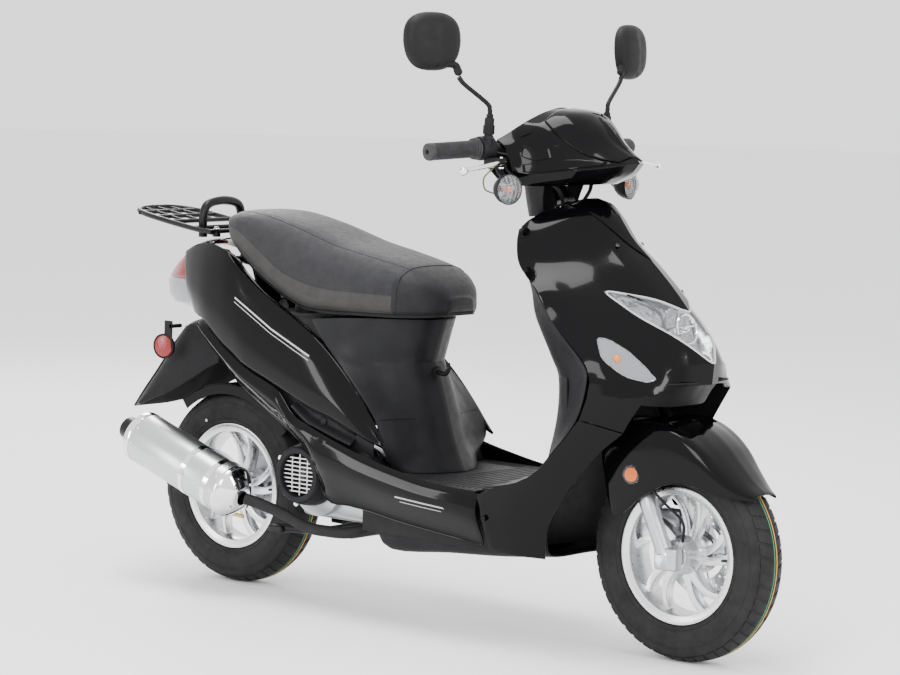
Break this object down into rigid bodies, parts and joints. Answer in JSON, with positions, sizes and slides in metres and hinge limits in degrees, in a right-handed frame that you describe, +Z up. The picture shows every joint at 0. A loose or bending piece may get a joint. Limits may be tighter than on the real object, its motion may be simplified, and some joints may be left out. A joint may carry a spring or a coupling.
{
  "type": "moped scooter",
  "caption": "Step-through moped scooter with swing-unit engine, telescopic fork, lifting seat, luggage rack and turning controls.",
  "frame": {"origin": "on the ground under the middle of the machine's box, halfway between the tyre-tread side faces", "axes": "+X forward along the machine, +Y to the rider's left, +Z up"},
  "size_m": [1.791, 0.7594, 1.281],
  "materials": {
    "gloss_black": "high gloss paint",
    "satin_plastic": "satin moulded grain",
    "clear_lens": "clear moulded lens",
    "red_lens": "moulded red lens",
    "black_paint": "semi-gloss powder coat",
    "rubber": "ribbed grip rubber",
    "tyre_rubber": "dull tyre rubber",
    "wheel_alloy": "silver painted casting",
    "cast_alloy": "cast, satin",
    "chrome": "polished plate",
    "brushed_steel": "brushed",
    "vinyl": "grained vinyl with stitched seams",
    "fuel_plastic": "rough moulding"
  },
  "bodies": {
    "chassis": {"main_frame": "black_paint", "front_apron": "gloss_black", "inner_leg_shield": "satin_plastic", "headlight_lens": "clear_lens", "apron_signal_right": "clear_lens", "apron_signal_left": "clear_lens", "floorboard": "satin_plastic", "belly_pan": "satin_plastic", "side_skirt_right": "gloss_black", "side_skirt_left": "gloss_black", "rear_body_right": "gloss_black", "rear_body_left": "gloss_black", "lower_side_panel_right": "satin_plastic", "lower_side_panel_left": "satin_plastic", "tail_cover": "gloss_black", "tail_lamp": "red_lens", "rear_flap": "satin_plastic", "seat_pillar": "satin_plastic", "storage_bucket": "satin_plastic", "fuel_tank": "fuel_plastic", "luggage_rack": "black_paint"},
    "steering": {"steering_column": "black_paint", "handlebar": "black_paint", "headset_front": "gloss_black", "headset_rear": "satin_plastic", "left_grip": "rubber", "switch_housing_right": "satin_plastic", "switch_housing_left": "satin_plastic", "indicator_right": "clear_lens", "indicator_left": "clear_lens"},
    "throttle": {"throttle_grip": "rubber"},
    "right_lever": {"brake_lever_right": "chrome"},
    "left_lever": {"brake_lever_left": "chrome"},
    "right_mirror_stem": {"mirror_stem_right": "black_paint"},
    "left_mirror_stem": {"mirror_stem_left": "black_paint"},
    "right_mirror_head": {"mirror_head_right": "black_paint"},
    "left_mirror_head": {"mirror_head_left": "black_paint"},
    "start_switch": {"start_button": "red_lens"},
    "ignition": {"ignition_key": "chrome"},
    "fork": {"fork_slider_right": "cast_alloy", "fork_slider_left": "cast_alloy", "brake_caliper": "cast_alloy", "front_fender": "gloss_black"},
    "front_wheel": {"front_rim": "wheel_alloy", "front_tyre": "tyre_rubber", "brake_disc": "brushed_steel"},
    "engine_unit": {"engine_case": "cast_alloy", "fan_shroud": "satin_plastic", "exhaust_pipe": "black_paint", "muffler": "brushed_steel", "rear_hugger": "gloss_black"},
    "rear_wheel": {"rear_rim": "wheel_alloy", "rear_tyre": "tyre_rubber"},
    "kick_start": {"kick_lever": "cast_alloy"},
    "shock_upper": {"shock_tube": "black_paint"},
    "shock_lower": {"shock_rod": "chrome", "shock_spring": "chrome"},
    "seat": {"seat_cushion": "vinyl", "seat_base": "satin_plastic"},
    "stand": {"centre_stand": "black_paint"}
  },
  "joints": [
    {"name": "steering_turn", "type": "hinge", "parent": "chassis", "child": "steering", "pos_m": [0.42808, 0, 0.7], "axis": [-0.4226, 0, 0.9063], "range_deg": [-30, 30]},
    {"name": "throttle_twist", "type": "hinge", "parent": "steering", "child": "throttle", "pos_m": [0.2695, -0.2, 1.01], "axis": [-0.2037, -0.9778, -0.0489], "range_deg": [0, 75], "stiffness_Nm_per_rad": 0.06, "springref_deg": -28.65},
    {"name": "brake_lever_right_pull", "type": "hinge", "parent": "steering", "child": "right_lever", "pos_m": [0.3075, -0.172, 0.984], "axis": [0, 0, -1], "range_deg": [0, 14], "stiffness_Nm_per_rad": 1.5, "springref_deg": -14.32},
    {"name": "brake_lever_left_pull", "type": "hinge", "parent": "steering", "child": "left_lever", "pos_m": [0.3075, 0.172, 0.984], "axis": [0, 0, 1], "range_deg": [0, 14], "stiffness_Nm_per_rad": 1.5, "springref_deg": -14.32},
    {"name": "mirror_right_swivel", "type": "hinge", "parent": "steering", "child": "right_mirror_stem", "pos_m": [0.2875, -0.19, 1.04], "axis": [0, 0, 1], "range_deg": [-35, 35]},
    {"name": "mirror_left_swivel", "type": "hinge", "parent": "steering", "child": "left_mirror_stem", "pos_m": [0.2875, 0.19, 1.04], "axis": [0, 0, 1], "range_deg": [-35, 35]},
    {"name": "mirror_right_tilt", "type": "hinge", "parent": "right_mirror_stem", "child": "right_mirror_head", "pos_m": [0.2655, -0.263, 1.164], "axis": [0, 1, 0], "range_deg": [-15, 15]},
    {"name": "mirror_left_tilt", "type": "hinge", "parent": "left_mirror_stem", "child": "left_mirror_head", "pos_m": [0.2655, 0.263, 1.164], "axis": [0, 1, 0], "range_deg": [-15, 15]},
    {"name": "start_button_press", "type": "slide", "parent": "steering", "child": "start_switch", "axis": [1, 0, 0], "range_m": [0, 0.003], "stiffness_N_per_m": 300, "springref_m": -0.002},
    {"name": "ignition_key_turn", "type": "hinge", "parent": "chassis", "child": "ignition", "pos_m": [0.308, -0.06, 0.79], "axis": [1, 0, 0], "range_deg": [0, 90]},
    {"name": "fork_travel", "type": "slide", "parent": "steering", "child": "fork", "axis": [-0.4226, 0, 0.9063], "range_m": [0, 0.03], "stiffness_N_per_m": 12000, "springref_m": -0.06},
    {"name": "front_wheel_spin", "type": "hinge", "parent": "fork", "child": "front_wheel", "pos_m": [0.6795, 0, 0.216], "axis": [0, 1, 0], "continuous": true},
    {"name": "rear_suspension", "type": "hinge", "parent": "chassis", "child": "engine_unit", "pos_m": [-0.0905, 0, 0.265], "axis": [0, 1, 0], "range_deg": [0, 7.5], "stiffness_Nm_per_rad": 3500, "springref_deg": -11.46},
    {"name": "rear_wheel_spin", "type": "hinge", "parent": "engine_unit", "child": "rear_wheel", "pos_m": [-0.561, 0, 0.216], "axis": [0, 1, 0], "continuous": true},
    {"name": "kick_start_press", "type": "hinge", "parent": "engine_unit", "child": "kick_start", "pos_m": [-0.2855, 0.148, 0.235], "axis": [0, -1, 0], "range_deg": [0, 50], "stiffness_Nm_per_rad": 1.5, "springref_deg": -57.3},
    {"name": "shock_lean", "type": "hinge", "parent": "chassis", "child": "shock_upper", "pos_m": [-0.5255, 0.094, 0.615], "axis": [0, -1, 0], "range_deg": [0, 3]},
    {"name": "shock_stroke", "type": "slide", "parent": "shock_upper", "child": "shock_lower", "axis": [0, 0, 1], "range_m": [0, 0.0562], "deforming": ["shock_spring"]},
    {"name": "seat_lift", "type": "hinge", "parent": "chassis", "child": "seat", "pos_m": [0.0475, 0, 0.638], "axis": [0, 1, 0], "range_deg": [0, 68]},
    {"name": "stand_swing", "type": "hinge", "parent": "chassis", "child": "stand", "pos_m": [-0.1555, 0, 0.162], "axis": [0, -1, 0], "range_deg": [0, 78], "stiffness_Nm_per_rad": 3, "springref_deg": -68.75}
  ],
  "couplings": [
    {"joint": "shock_lean", "follows": "rear_suspension", "ratio": 0.398},
    {"joint": "shock_stroke", "follows": "rear_suspension", "m_per_rad": 0.4271}
  ]
}
